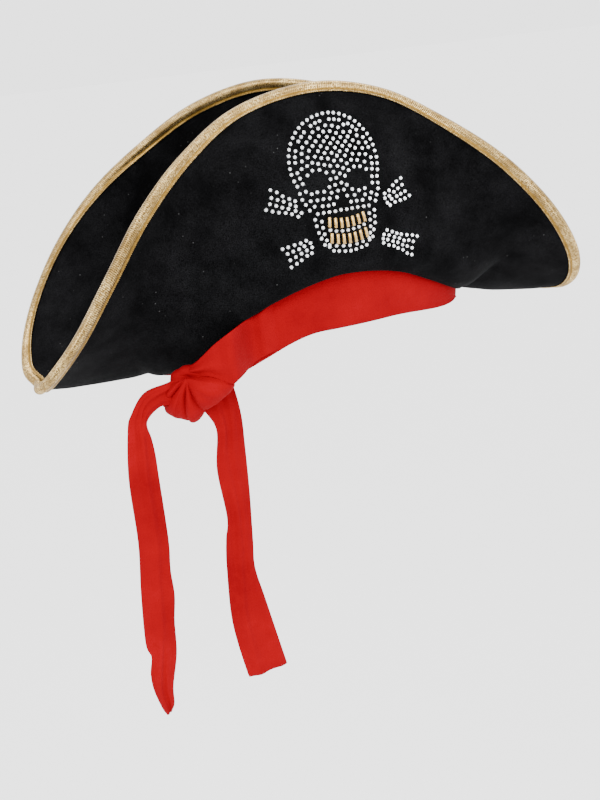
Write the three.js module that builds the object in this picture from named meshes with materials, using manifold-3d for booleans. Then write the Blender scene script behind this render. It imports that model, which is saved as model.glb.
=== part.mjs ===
// A velvet pirate hat: a brim turned up in front and behind and bound with braid, a soft crown inside it,
// and a scarf band that shows under the brim and ties in a knot with two hanging tails.
// Millimetres, +Z up, the front looks along -Y. The origin is the middle of the head opening.
import * as THREE from 'three';
import * as BufferGeometryUtils from 'three/addons/utils/BufferGeometryUtils.js';
import Module from 'manifold-3d';

const wasm = await Module();
wasm.setup();

// ---- driving dimensions -------------------------------------------------------------------------------

const HEAD = { halfWidth: 126, halfDepth: 74 }; // the brim's foot around the crown, half axes
const SEAM_GAP = 0.3; // from the middle plane to each flap, along the gutters
const CLEARANCE = 0.6; // between layers that lie against each other round the crown

// The brim's edge on one side, from the middle of the front to the tip: across, half the gap between the
// two flaps, and height. Both sides and both flaps share it.
const RIM = [
  [0, 48, 170],
  [53, 46, 160],
  [96, 55, 136],
  [133, 71, 106],
  [163, 83, 70],
  [187, 79, 35],
  [204, 58, 7],
  [212, 28, -12],
  [207, 0, -16],
];

// The brim's foot, where it turns up from the crown and then runs out as the gutter's floor: across, height.
// The scarf's knot pulls the left side lower.
const FOOT_RIGHT = [[0, 45], [25, 43], [50, 37], [77, 25], [105, 11], [126, 1], [145, -5], [180, -12], [204, -16]];
const FOOT_LEFT = [[0, 45], [31, 39], [59, 28], [81, 15], [103, -4], [115, -12], [135, -16], [165, -18], [204, -16]];
const FOOT_END = 204; // how far out the gutter's floor runs

const CROWN_COLUMNS = 10; // columns of facets in a quarter of the crown
const GUTTER_COLUMNS = 8; // and along one gutter
const SIDE_COLUMNS = CROWN_COLUMNS + GUTTER_COLUMNS;
const FLAP_ROWS = 6;
const ROLL = { middle: 17, gutter: 24 }; // how far the foot runs out level before it turns up
const ROLL_HEADING = THREE.MathUtils.degToRad(35); // the way it runs out, turned from straight ahead

// Layers of a flap, as offsets from its middle surface, outward first.
const VELVET = { from: 1.3, to: 2.1 };
const STIFFENER = 1.0;

const BRAID = { reach: 6, wrap: 2.7, half: 4.6, slot: 3.3, bevel: 1.8, bottom: 0.7 };

const CROWN = { wall: 2, wallTop: 90, topRise: 20, shoulder: 64, taper: 0.17, cloth: 1 };
const SCARF = { thickness: 2, tuck: 17, front: 4, knotSide: -30, farSide: -4, back: 0 };
const SWEATBAND = { thickness: 1.4, lift: 4, height: 30 };

const KNOT = { at: [-106.5, -61.5, -24], half: [23, 13, 17], turn: -35 };
const TAIL = { plane: -62, thickness: 3, gap: 1.5 };
const TAIL_LONG_BEND = -150; // height of the bend half-way down
const TAIL_SHORT_BEND = -145;

const STONES = { from: 0.5, to: 2.0 }; // crystal field on the velvet, off its face
const MOTIF_ACROSS = 5; // how far the whole motif sits off the hat's middle
const SKULL = { centre: 119, radius: 33.7, cheek: [30, 98], upperJaw: [24, 86.5] };
const JAW = { top: 86, half: 24, chin: 58, chinHalf: 12 };
const EYE = { across: 14.4, height: 107.5, half: [8.3, 6.6] };
const NOSE = { height: 96.5, half: 3.8 };
const TEETH = { perRow: 7, pitch: 4.3, radius: 1.1, length: 6.8, rows: [80.6, 70] };
const BONES = { crossing: 77.6, half: 5.2, flare: 7.8, notch: 2 };
const UPPER_BONE = { end: [50.5, 98.3], start: 36 };
const LOWER_BONE = { end: [48.5, 57.7], start: 27.5 };

// ---- colours and finishes -----------------------------------------------------------------------------

const finish = (color, roughness, metalness = 0) => new THREE.MeshStandardMaterial({ color, roughness, metalness });
const VELVET_BLACK = finish(0x0b0b0c, 0.95);
const STIFFENER_BLACK = finish(0x1c1c1e, 0.9);
const LINING_BLACK = finish(0x141417, 0.6);
const SCARF_RED = finish(0xc80008, 0.85);
const BRAID_GOLD = finish(0xc9a86a, 0.4, 0.6);
const BEAD_GOLD = finish(0xc79a4a, 0.3, 0.7);
const CRYSTAL = finish(0xe8eaf0, 0.15, 0.3);

// ---- small helpers ------------------------------------------------------------------------------------

const hat = new THREE.Group();

function add(name, geometry, material) {
  const mesh = new THREE.Mesh(geometry, material);
  mesh.name = name;
  hat.add(mesh);
  return mesh;
}

/** A smooth height through stations of [across, height], with the slopes of their neighbours. */
function heightAt(stations, across) {
  const last = stations.length - 1;
  const next = Math.min(last, Math.max(1, stations.findIndex(([x]) => x >= across)));
  const slope = (i) => {
    const [a, b] = [stations[Math.max(0, i - 1)], stations[Math.min(last, i + 1)]];
    return i === 0 ? 0 : (b[1] - a[1]) / (b[0] - a[0]);
  };
  const [[x0, z0], [x1, z1]] = [stations[next - 1], stations[next]];
  const width = x1 - x0;
  const t = Math.min(1, (across - x0) / width);
  const [t2, t3] = [t * t, t * t * t];
  return (2 * t3 - 3 * t2 + 1) * z0 + (t3 - 2 * t2 + t) * width * slope(next - 1)
    + (3 * t2 - 2 * t3) * z1 + (t3 - t2) * width * slope(next);
}

const footHeight = (x) => heightAt(x < 0 ? FOOT_LEFT : FOOT_RIGHT, Math.abs(x));

/** A closed body between an outer and an inner grid of points, sewn together along the grid's edges. */
function slab(outer, inner) {
  const [rows, columns] = [outer.length, outer[0].length];
  const positions = [...outer.flat(), ...inner.flat()].flatMap((p) => p.toArray());
  const front = (r, c) => r * columns + c;
  const back = (r, c) => rows * columns + front(r, c);
  const index = [];
  const quad = (a, b, c, d) => index.push(a, b, c, a, c, d);
  for (let r = 0; r < rows - 1; r += 1) {
    for (let c = 0; c < columns - 1; c += 1) {
      quad(front(r, c), front(r, c + 1), front(r + 1, c + 1), front(r + 1, c));
      quad(back(r, c), back(r + 1, c), back(r + 1, c + 1), back(r, c + 1));
    }
    quad(front(r, 0), front(r + 1, 0), back(r + 1, 0), back(r, 0));
    quad(front(r, columns - 1), back(r, columns - 1), back(r + 1, columns - 1), front(r + 1, columns - 1));
  }
  for (let c = 0; c < columns - 1; c += 1) {
    quad(front(0, c), back(0, c), back(0, c + 1), front(0, c + 1));
    quad(front(rows - 1, c), front(rows - 1, c + 1), back(rows - 1, c + 1), back(rows - 1, c));
  }
  return closedBody(positions, index);
}

/** A closed body swept through closed sections, each a ring of points; the last ring meets the first. */
function loopOfSections(sections) {
  const size = sections[0].length;
  const index = [];
  sections.forEach((_, i) => {
    const next = (i + 1) % sections.length;
    for (let k = 0; k < size; k += 1) {
      const along = (k + 1) % size;
      index.push(i * size + k, i * size + along, next * size + along);
      index.push(i * size + k, next * size + along, next * size + k);
    }
  });
  return closedBody(sections.flat().flatMap((p) => p.toArray()), index);
}

/** Six times the volume inside a triangle mesh, negative when its faces point in. */
function signedVolume(positions, index) {
  const corner = (i) => new THREE.Vector3().fromArray(positions, 3 * index[i]);
  let sum = 0;
  for (let i = 0; i < index.length; i += 3) {
    sum += corner(i).dot(corner(i + 1).cross(corner(i + 2)));
  }
  return sum;
}

function closedBody(positions, index) {
  const geometry = new THREE.BufferGeometry();
  geometry.setAttribute('position', new THREE.Float32BufferAttribute(positions, 3));
  if (signedVolume(positions, index) < 0) {
    for (let i = 0; i < index.length; i += 3) {
      [index[i], index[i + 1]] = [index[i + 1], index[i]];
    }
  }
  geometry.setIndex(index);
  return geometry;
}

function solidOf(geometry) {
  const bare = geometry.clone();
  bare.deleteAttribute('normal');
  bare.deleteAttribute('uv');
  const merged = BufferGeometryUtils.mergeVertices(bare, 1e-4);
  return new wasm.Manifold(new wasm.Mesh({
    numProp: 3,
    vertProperties: new Float32Array(merged.attributes.position.array),
    triVerts: new Uint32Array(merged.index.array),
  }));
}

function geometryOf(solid) {
  const mesh = solid.getMesh();
  const points = [];
  for (let i = 0; i < mesh.vertProperties.length; i += mesh.numProp) {
    points.push(...mesh.vertProperties.slice(i, i + 3));
  }
  return closedBody(points, [...mesh.triVerts]);
}

// ---- the brim's two flaps -----------------------------------------------------------------------------

const rimCurve = new THREE.CatmullRomCurve3(RIM.map(([x, gap, z]) => new THREE.Vector3(x, -gap, z)));

/** The foot of a column, on the crown for the first columns and then out along the gutter's floor. */
function footPoint(column) {
  const out = Math.abs(column);
  const side = Math.sign(column) || 1;
  if (out <= CROWN_COLUMNS) {
    const angle = (out / CROWN_COLUMNS) * (Math.PI / 2);
    const x = side * HEAD.halfWidth * Math.sin(angle);
    return new THREE.Vector3(x, Math.min(-HEAD.halfDepth * Math.cos(angle), -SEAM_GAP), footHeight(x));
  }
  const x = side * THREE.MathUtils.lerp(HEAD.halfWidth, FOOT_END, (out - CROWN_COLUMNS) / GUTTER_COLUMNS);
  return new THREE.Vector3(x, -SEAM_GAP, footHeight(x));
}

/** One column of the front flap's middle surface, from its foot to the rim. */
function flapColumn(column) {
  const share = Math.abs(column) / SIDE_COLUMNS;
  const side = Math.sign(column) || 1;
  const foot = footPoint(column);
  const rim = rimCurve.getPoint(share).multiply(new THREE.Vector3(side, 1, 1));
  rim.y = Math.min(rim.y, -SEAM_GAP);
  const heading = ROLL_HEADING * THREE.MathUtils.smoothstep(share, 0, 0.35);
  const roll = Math.min(THREE.MathUtils.lerp(ROLL.middle, ROLL.gutter, share), 0.4 * foot.distanceTo(rim));
  const out = new THREE.Vector3(side * Math.sin(heading), -Math.cos(heading), 0).multiplyScalar(roll);
  if (share === 1) {
    out.set(side * roll, 0, 0);
  }
  const rolled = foot.clone().add(out);
  const rise = Math.min(roll, 0.6 * Math.max(0, rim.z - foot.z));
  const shoulder = rolled.clone().add(new THREE.Vector3(0, 0, rise)).lerp(rim, 0.35);
  const curve = new THREE.CubicBezierCurve3(foot, rolled, shoulder, rim);
  return Array.from({ length: FLAP_ROWS + 1 }, (_, row) => curve.getPoint((row / FLAP_ROWS) ** 1.35));
}

/** The front flap's middle surface as rows of points, left tip to right tip, foot row first. */
function flapSurface() {
  const columns = [];
  for (let column = -SIDE_COLUMNS; column <= SIDE_COLUMNS; column += 1) {
    columns.push(flapColumn(column));
  }
  return Array.from({ length: FLAP_ROWS + 1 }, (_, row) => columns.map((points) => points[row]));
}

/** Outward directions at the grid's points. Along the foot and at the tips the flap lies level. */
function outwardDirections(grid) {
  const [rows, columns] = [grid.length, grid[0].length];
  const at = (r, c) => grid[Math.min(rows - 1, Math.max(0, r))][Math.min(columns - 1, Math.max(0, c))];
  return grid.map((line, r) => line.map((_, c) => {
    if (r === 0 || c === 0 || c === columns - 1) {
      return new THREE.Vector3(0, 0, -1);
    }
    const along = at(r, c + 1).clone().sub(at(r, c - 1));
    const up = at(r + 1, c).clone().sub(at(r - 1, c));
    return along.cross(up).normalize();
  }));
}

const FRONT = flapSurface();
const OUTWARD = outwardDirections(FRONT);

/** The flap's surface moved outward by a distance; the back flap is the front one mirrored. */
function offsetSurface(distance, isBack = false) {
  return FRONT.map((line, r) => line.map((point, c) => {
    const moved = point.clone().addScaledVector(OUTWARD[r][c], distance);
    moved.y = Math.min(moved.y, -SEAM_GAP);
    return isBack ? moved.multiply(new THREE.Vector3(1, -1, 1)) : moved;
  }));
}

function flapLayer(from, to, isBack) {
  return slab(offsetSurface(to, isBack), offsetSurface(from, isBack));
}

for (const [flap, isBack] of [['front', false], ['back', true]]) {
  add(`${flap}_flap_velvet_outer`, flapLayer(VELVET.from, VELVET.to, isBack), VELVET_BLACK);
  add(`${flap}_flap_stiffener`, flapLayer(-STIFFENER, STIFFENER, isBack), STIFFENER_BLACK);
  add(`${flap}_flap_velvet_inner`, flapLayer(-VELVET.to, -VELVET.from, isBack), VELVET_BLACK);
}

// ---- the braid that binds the edge ---------------------------------------------------------------------

/** The braid's folded section: out along the flap's outward way, and in from the edge towards its foot. */
const BRAID_SECTION = [
  [BRAID.half, BRAID.reach],
  [BRAID.half, BRAID.bevel - BRAID.wrap],
  [BRAID.half - BRAID.bevel, -BRAID.wrap],
  [BRAID.bevel - BRAID.half, -BRAID.wrap],
  [-BRAID.half, BRAID.bevel - BRAID.wrap],
  [-BRAID.half, BRAID.reach],
  [-BRAID.slot, BRAID.reach],
  [-BRAID.slot, -BRAID.bottom],
  [BRAID.slot, -BRAID.bottom],
  [BRAID.slot, BRAID.reach],
];

function braidSection(column) {
  const edge = FRONT[FLAP_ROWS];
  const last = edge.length - 1;
  const outward = OUTWARD[FLAP_ROWS][column];
  const along = edge[Math.min(column + 1, last)].clone().sub(edge[Math.max(column - 1, 0)]);
  if (column === 0 || column === last) {
    along.set(0, column === 0 ? -1 : 1, 0);
  }
  const inward = along.cross(outward).normalize();
  return BRAID_SECTION.map(([out, into]) => (
    edge[column].clone().addScaledVector(outward, out).addScaledVector(inward, into)
  ));
}

function edgeBraid() {
  const mirrored = (points) => points.map((p) => new THREE.Vector3(p.x, -p.y, p.z));
  const levelled = (points) => points.map((p) => new THREE.Vector3(p.x, 0, p.z));
  const last = 2 * SIDE_COLUMNS;
  const middle = Array.from({ length: last - 1 }, (_, i) => braidSection(i + 1));
  return loopOfSections([
    levelled(braidSection(0)),
    ...middle,
    levelled(braidSection(last)),
    ...middle.map(mirrored).reverse(),
  ]);
}

add('edge_braid', edgeBraid(), BRAID_GOLD);

// ---- crown, lining, sweatband and scarf band -----------------------------------------------------------

/** How far the crown is drawn in at a height, as a share of its half axes. */
const crownShare = (z) => 1 - CROWN.taper * THREE.MathUtils.smoothstep(z, CROWN.shoulder, CROWN.wallTop + 10);

function crownPoint(angle, z, inset) {
  const share = crownShare(z);
  return new THREE.Vector3(
    (HEAD.halfWidth * share - inset) * Math.sin(angle),
    -(HEAD.halfDepth * share - inset) * Math.cos(angle),
    z,
  );
}

/** A wall round the crown through the given levels. A level is a height, or a function of the angle. */
function crownRing(inset, thickness, levels) {
  const sections = Array.from({ length: 4 * CROWN_COLUMNS }, (_, i) => {
    const angle = (i / (4 * CROWN_COLUMNS)) * 2 * Math.PI;
    const heights = levels.map((level) => (typeof level === 'function' ? level(angle) : level));
    const face = (depth) => heights.map((height) => crownPoint(angle, height, depth));
    return [...face(inset), ...face(inset + thickness).reverse()];
  });
  return loopOfSections(sections);
}

/** A shallow domed cap that closes the crown from a rim height. */
function crownCap(inset, thickness, rim, rise) {
  const share = crownShare(rim);
  const half = HEAD.halfWidth * share - inset;
  const rings = 5;
  const arch = (drop) => Array.from({ length: rings + 1 }, (_, i) => {
    const angle = (i / rings) * (Math.PI / 2);
    return new THREE.Vector2(Math.cos(angle) * (half - drop), rim + Math.sin(angle) * (rise - drop));
  });
  const profile = [...arch(0), ...arch(thickness).reverse()];
  profile.push(profile[0].clone());
  profile.forEach((point) => {
    if (Math.abs(point.x) < 1e-6) {
      point.x = 0;
    }
  });
  const cap = new THREE.LatheGeometry(profile, 4 * CROWN_COLUMNS);
  cap.rotateX(Math.PI / 2);
  cap.scale(1, (HEAD.halfDepth * share - inset) / half, 1);
  const bare = geometryOf(solidOf(cap));
  return bare;
}

const footAround = (angle) => footHeight(HEAD.halfWidth * Math.sin(angle));

/** The scarf band's lower edge: level in front and behind, hanging towards the knot on the left. */
function scarfEdge(angle) {
  const side = Math.sin(angle);
  const level = THREE.MathUtils.lerp(SCARF.back, SCARF.front, 0.5 + 0.5 * Math.cos(angle));
  const target = side < 0 ? SCARF.knotSide : SCARF.farSide;
  const hang = THREE.MathUtils.smoothstep(Math.abs(side), 0.3, 0.95);
  return Math.min(THREE.MathUtils.lerp(level, target, hang), footAround(angle) - 9);
}

const wallInset = CLEARANCE;
const scarfInset = wallInset + CROWN.wall + CLEARANCE;
const sweatbandInset = scarfInset + SCARF.thickness + CLEARANCE;
const scarfTop = (angle) => footAround(angle) + SCARF.tuck;
const liningTop = CROWN.wallTop - 3;

const crownBend = (CROWN.shoulder + CROWN.wallTop) / 2;

add('crown_wall', crownRing(
  wallInset,
  CROWN.wall,
  [(a) => footAround(a) - VELVET.to, CROWN.shoulder, crownBend, CROWN.wallTop],
), VELVET_BLACK);
add('crown_top', crownCap(wallInset, CROWN.wall, CROWN.wallTop + CLEARANCE, CROWN.topRise), VELVET_BLACK);
add('lining_wall', crownRing(
  scarfInset,
  CROWN.cloth,
  [(a) => scarfTop(a) + CLEARANCE, CROWN.shoulder, crownBend, liningTop],
), LINING_BLACK);
add('lining_top', crownCap(scarfInset, CROWN.cloth, liningTop + CLEARANCE, CROWN.topRise - CROWN.wall),
  LINING_BLACK);
add('scarf_band', crownRing(scarfInset, SCARF.thickness, [scarfEdge, scarfTop]), SCARF_RED);
add('sweatband', crownRing(sweatbandInset, SWEATBAND.thickness, [
  (a) => scarfEdge(a) + SWEATBAND.lift,
  (a) => scarfEdge(a) + SWEATBAND.lift + SWEATBAND.height,
]), LINING_BLACK);

// ---- knot and tails -------------------------------------------------------------------------------------

function scarfKnot() {
  const knot = new THREE.SphereGeometry(1, 16, 10);
  knot.scale(...KNOT.half);
  knot.rotateZ(THREE.MathUtils.degToRad(KNOT.turn));
  knot.translate(...KNOT.at);
  return knot;
}

/** A flat tail cut from a line of [across, height] points down one edge and up the other. */
function tailPiece(down, up) {
  const shape = new THREE.Shape();
  shape.moveTo(...down[0]);
  shape.splineThru(down.slice(1).map((p) => new THREE.Vector2(...p)));
  shape.lineTo(...up[0]);
  shape.splineThru(up.slice(1).map((p) => new THREE.Vector2(...p)));
  const tail = new THREE.ExtrudeGeometry(shape, { depth: TAIL.thickness, bevelEnabled: false, curveSegments: 4 });
  tail.translate(0, 0, -TAIL.thickness / 2);
  tail.rotateX(Math.PI / 2);
  tail.translate(0, TAIL.plane, 0);
  return tail;
}

add('knot', scarfKnot(), SCARF_RED);
add('tail_long_upper', tailPiece(
  [[-131, -14], [-150, -13], [-165, -30], [-169, -60], [-169, -100], [-170, TAIL_LONG_BEND + TAIL.gap]],
  [[-146, TAIL_LONG_BEND + TAIL.gap], [-146, -100], [-146, -60], [-143, -38], [-131, -30]],
), SCARF_RED);
add('tail_long_lower', tailPiece(
  [[-170, TAIL_LONG_BEND - TAIL.gap], [-172, -190], [-172, -230], [-170, -268]],
  [[-164, -268], [-156, -230], [-150, -190], [-146, TAIL_LONG_BEND - TAIL.gap]],
), SCARF_RED);
add('tail_short_upper', tailPiece(
  [[-104, -44], [-101, -70], [-101, -100], [-102, TAIL_SHORT_BEND + TAIL.gap]],
  [[-81, TAIL_SHORT_BEND + TAIL.gap], [-79, -100], [-80, -70], [-85, -44]],
), SCARF_RED);
add('tail_short_lower', tailPiece(
  [[-102, TAIL_SHORT_BEND - TAIL.gap], [-103, -190], [-101, -225], [-100, -256]],
  [[-70, -262], [-78, -225], [-82, -190], [-81, TAIL_SHORT_BEND - TAIL.gap]],
), SCARF_RED);

// ---- the crystal skull and crossbones, with bead teeth --------------------------------------------------

const crystalField = solidOf(flapLayer(VELVET.to + STONES.from, VELVET.to + STONES.to, false));

/** The part of the crystal field inside an outline drawn across and up on the hat's front. */
function crystals(shape) {
  const block = new THREE.ExtrudeGeometry(shape, { depth: 100, bevelEnabled: false, curveSegments: 8 });
  block.rotateX(Math.PI / 2);
  block.translate(MOTIF_ACROSS, -20, 0);
  return geometryOf(crystalField.intersect(solidOf(block)));
}

function ovalPath(x, z, halfWidth, halfHeight) {
  const path = new THREE.Path();
  path.absellipse(x, z, halfWidth, halfHeight, 0, 2 * Math.PI, false);
  return path;
}

function cranium() {
  const { centre, radius, cheek, upperJaw } = SKULL;
  const shape = new THREE.Shape();
  shape.moveTo(-upperJaw[0], upperJaw[1]);
  shape.lineTo(-cheek[0], cheek[1]);
  shape.absarc(0, centre, radius, Math.PI + 0.4, -0.4, true);
  shape.lineTo(...cheek);
  shape.lineTo(...upperJaw);
  shape.closePath();
  for (const side of [-1, 1]) {
    shape.holes.push(ovalPath(side * EYE.across, EYE.height, ...EYE.half));
  }
  const nose = new THREE.Path();
  nose.moveTo(-NOSE.half, NOSE.height - NOSE.half);
  nose.lineTo(NOSE.half, NOSE.height - NOSE.half);
  nose.lineTo(0, NOSE.height + NOSE.half);
  nose.closePath();
  shape.holes.push(nose);
  return shape;
}

function frameAround(x, z, halfWidth, halfHeight) {
  const path = new THREE.Path();
  path.moveTo(x - halfWidth, z - halfHeight);
  path.lineTo(x + halfWidth, z - halfHeight);
  path.lineTo(x + halfWidth, z + halfHeight);
  path.lineTo(x - halfWidth, z + halfHeight);
  path.closePath();
  return path;
}

function jaw() {
  const { top, half, chin, chinHalf } = JAW;
  const shape = new THREE.Shape();
  shape.moveTo(-half, top);
  shape.lineTo(half, top);
  shape.quadraticCurveTo(half, chin, chinHalf, chin);
  shape.lineTo(-chinHalf, chin);
  shape.quadraticCurveTo(-half, chin, -half, top);
  const halfRow = ((TEETH.perRow - 1) / 2) * TEETH.pitch + TEETH.radius + 1;
  for (const height of TEETH.rows) {
    shape.holes.push(frameAround(0, height, halfRow, TEETH.length / 2 + 0.6));
  }
  return shape;
}

/** One arm of a crossed bone, from beside the skull to its flared and notched end. */
function boneArm([endX, endZ], start) {
  const run = new THREE.Vector2(endX, endZ - BONES.crossing);
  const reach = run.length();
  run.normalize();
  const point = (along, across) => [
    along * run.x - across * run.y,
    BONES.crossing + along * run.y + across * run.x,
  ];
  const shape = new THREE.Shape();
  const waist = (start + reach) / 2;
  shape.moveTo(...point(start, -BONES.half));
  shape.quadraticCurveTo(...point(waist, -BONES.half), ...point(reach, -BONES.flare));
  shape.lineTo(...point(reach - BONES.notch, 0));
  shape.lineTo(...point(reach, BONES.flare));
  shape.quadraticCurveTo(...point(waist, BONES.half), ...point(start, BONES.half));
  return shape;
}

add('skull_crystals', crystals(cranium()), CRYSTAL);
add('jaw_crystals', crystals(jaw()), CRYSTAL);
for (const [side, sign] of [['left', -1], ['right', 1]]) {
  for (const [level, { end: [x, z], start }] of [['upper', UPPER_BONE], ['lower', LOWER_BONE]]) {
    add(`bone_${side}_${level}`, crystals(boneArm([sign * x, z], start)), CRYSTAL);
  }
}

const frontSkin = new THREE.Mesh(flapLayer(VELVET.from, VELVET.to, false), VELVET_BLACK);
const probe = new THREE.Raycaster();

/** Where the front velvet's face is, at a place across and up. */
function onVelvet(x, z) {
  probe.set(new THREE.Vector3(x, -400, z), new THREE.Vector3(0, 1, 0));
  return probe.intersectObject(frontSkin)[0].point;
}

/** A bugle bead lying upright on the velvet. */
function beadTooth(x, z) {
  const half = TEETH.length / 2;
  const [low, high] = [onVelvet(x, z - half), onVelvet(x, z + half)];
  const up = high.clone().sub(low).normalize();
  const off = new THREE.Vector3(1, 0, 0).cross(up);
  const bead = new THREE.CylinderGeometry(TEETH.radius, TEETH.radius, TEETH.length, 8);
  bead.applyQuaternion(new THREE.Quaternion().setFromUnitVectors(new THREE.Vector3(0, 1, 0), up));
  const centre = low.lerp(high, 0.5).addScaledVector(off.y < 0 ? off : off.negate(), TEETH.radius + 1.1);
  bead.translate(centre.x, centre.y, centre.z);
  return bead;
}

TEETH.rows.forEach((height, row) => {
  for (let i = 0; i < TEETH.perRow; i += 1) {
    const across = MOTIF_ACROSS + (i - (TEETH.perRow - 1) / 2) * TEETH.pitch;
    add(`tooth_${row === 0 ? 'upper' : 'lower'}_${i + 1}`, beadTooth(across, height), BEAD_GOLD);
  }
});

export default hat;
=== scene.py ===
import math

import bmesh
import bpy
import numpy as np
from mathutils import Matrix, Vector
from mathutils.bvhtree import BVHTree


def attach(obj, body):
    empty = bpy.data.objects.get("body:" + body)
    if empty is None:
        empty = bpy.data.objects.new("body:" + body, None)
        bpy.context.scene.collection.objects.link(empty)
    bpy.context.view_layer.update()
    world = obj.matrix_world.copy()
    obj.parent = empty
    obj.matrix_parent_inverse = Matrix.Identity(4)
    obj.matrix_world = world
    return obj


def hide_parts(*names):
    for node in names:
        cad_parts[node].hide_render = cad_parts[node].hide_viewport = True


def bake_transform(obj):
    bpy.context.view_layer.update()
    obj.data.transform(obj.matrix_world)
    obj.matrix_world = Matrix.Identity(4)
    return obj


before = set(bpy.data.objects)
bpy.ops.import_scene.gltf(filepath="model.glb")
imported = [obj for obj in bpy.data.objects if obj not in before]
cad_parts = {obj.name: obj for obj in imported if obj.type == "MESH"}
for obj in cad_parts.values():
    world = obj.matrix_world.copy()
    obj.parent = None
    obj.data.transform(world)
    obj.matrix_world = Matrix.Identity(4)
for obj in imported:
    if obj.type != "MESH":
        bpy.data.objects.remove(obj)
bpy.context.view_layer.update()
MM = 0.001

# ---- driving dimensions, in millimetres -----------------------------------------------------------------
# Most are the CAD model's. The feet and the brim's tips differ from it by up to 4 mm, and SEAM_OVERLAP
# closes the small gap that the CAD keeps between the flaps.

HEAD = (126.0, 74.0)  # half axes of the brim's foot round the crown
SEAM_OVERLAP = 0.4  # how far each flap reaches past the middle, where the two are sewn together
RIM = [  # the brim's edge on one side: across, half the gap between the flaps, height
    (0, 48, 170), (53, 46, 160), (96, 55, 136), (133, 71, 106), (163, 83, 70),
    (187, 79, 35), (204, 58, 8), (212, 28, -9), (209, 0, -13),
]
FOOT_RIGHT = [(0, 45), (25, 43), (50, 37), (77, 25), (105, 11), (126, 1), (145, -5), (180, -12), (204, -14)]
FOOT_LEFT = [(0, 45), (31, 39), (59, 28), (81, 15), (103, -5), (115, -14), (135, -20), (165, -19), (204, -14)]
FOOT_END = 204.0
CROWN_SHARE = 10 / 18  # share of a side's columns whose feet are on the crown
ROLL = (17.0, 24.0)  # how far the foot runs out level, in the middle and along the gutters
ROLL_HEADING = math.radians(35)
VELVET = (1.35, 2.1)  # a velvet skin's faces, off the flap's middle surface
BUCKRAM_HALF = 1.0  # half the stiffener's thickness
CROWN_TOP = 90.0
CROWN_SHOULDER = 64.0
CROWN_TAPER = 0.17
CROWN_RISE = 20.0
LENS = 68.328  # the camera's focal length, for a frame 36 mm wide
BRAID_REACH = 6.0
BRAID_RIB = 1.35  # pitch of the braid's ribs
RIB_STEPS = 5
CRYSTAL = 2.6  # a crystal's diameter
CRYSTAL_PITCH = 4.3
SCARF_OUT = 2.6  # the scarf band's face is this far inside the brim's foot


# ---- meshes ---------------------------------------------------------------------------------------------

def new_object(name, points, faces, material, smooth=True):
    mesh = bpy.data.meshes.new(name)
    mesh.from_pydata((np.asarray(points).reshape(-1, 3) * MM).tolist(), [], faces)
    mesh.polygons.foreach_set("use_smooth", [smooth] * len(mesh.polygons))
    piece = bpy.data.objects.new(name, mesh)
    bpy.context.scene.collection.objects.link(piece)
    piece.data.materials.append(material)
    face_outward(piece)
    return piece


def face_outward(piece):
    shape = bmesh.new()
    shape.from_mesh(piece.data)
    bmesh.ops.recalc_face_normals(shape, faces=shape.faces)
    shape.to_mesh(piece.data)
    shape.free()


def grid_faces(rows, columns, wrap_rows=False, wrap_columns=False, start=0):
    faces = []
    for r in range(rows if wrap_rows else rows - 1):
        for c in range(columns if wrap_columns else columns - 1):
            r2, c2 = (r + 1) % rows, (c + 1) % columns
            corners = (r * columns + c, r * columns + c2, r2 * columns + c2, r2 * columns + c)
            faces.append(tuple(start + corner for corner in corners))
    return faces


def slab_piece(name, outer, inner, material):
    """A closed sheet between two grids of points, sewn along the edges."""
    rows, columns = outer.shape[:2]
    count = rows * columns
    edge = [(0, c) for c in range(columns)] + [(r, columns - 1) for r in range(1, rows)]
    edge += [(rows - 1, c) for c in range(columns - 2, -1, -1)] + [(r, 0) for r in range(rows - 2, 0, -1)]
    ring = [r * columns + c for r, c in edge]
    faces = grid_faces(rows, columns) + grid_faces(rows, columns, start=count)
    for a, b in zip(ring, ring[1:] + ring[:1]):
        faces.append((a, b, count + b, count + a))
    return new_object(name, np.concatenate([outer.reshape(-1, 3), inner.reshape(-1, 3)]), faces, material)


def ring_piece(name, sections, material):
    """A closed ring through closed sections, as an array of sections by points."""
    rows, columns = sections.shape[:2]
    return new_object(name, sections, grid_faces(rows, columns, True, True), material)


def smooth_noise(points, scale, seed):
    """A soft wave field from a few seeded sine waves, about -1 to 1, over points in millimetres."""
    rng = np.random.default_rng(seed)
    total = np.zeros(points.shape[:-1])
    for _ in range(5):
        direction = rng.normal(size=3)
        direction /= np.linalg.norm(direction)
        length = scale * rng.uniform(0.7, 1.6)
        total += np.sin(points @ direction * (2 * math.pi / length) + rng.uniform(0, 6.28))
    return total / 2.5


def smoothstep(low, high, value):
    t = np.clip((value - low) / (high - low), 0, 1)
    return t * t * (3 - 2 * t)


def hermite(stations, across):
    """A smooth height through stations of (across, height), with the slopes of their neighbours."""
    xs, zs = (np.array(v, float) for v in zip(*stations))
    slopes = np.gradient(zs, xs)
    slopes[1:-1] = (zs[2:] - zs[:-2]) / (xs[2:] - xs[:-2])
    slopes[0] = 0
    i = np.clip(np.searchsorted(xs, across, side="right") - 1, 0, len(xs) - 2)
    width = xs[i + 1] - xs[i]
    t = np.clip((across - xs[i]) / width, 0, 1)
    return ((2 * t**3 - 3 * t**2 + 1) * zs[i] + (t**3 - 2 * t**2 + t) * width * slopes[i]
            + (3 * t**2 - 2 * t**3) * zs[i + 1] + (t**3 - t**2) * width * slopes[i + 1])


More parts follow.
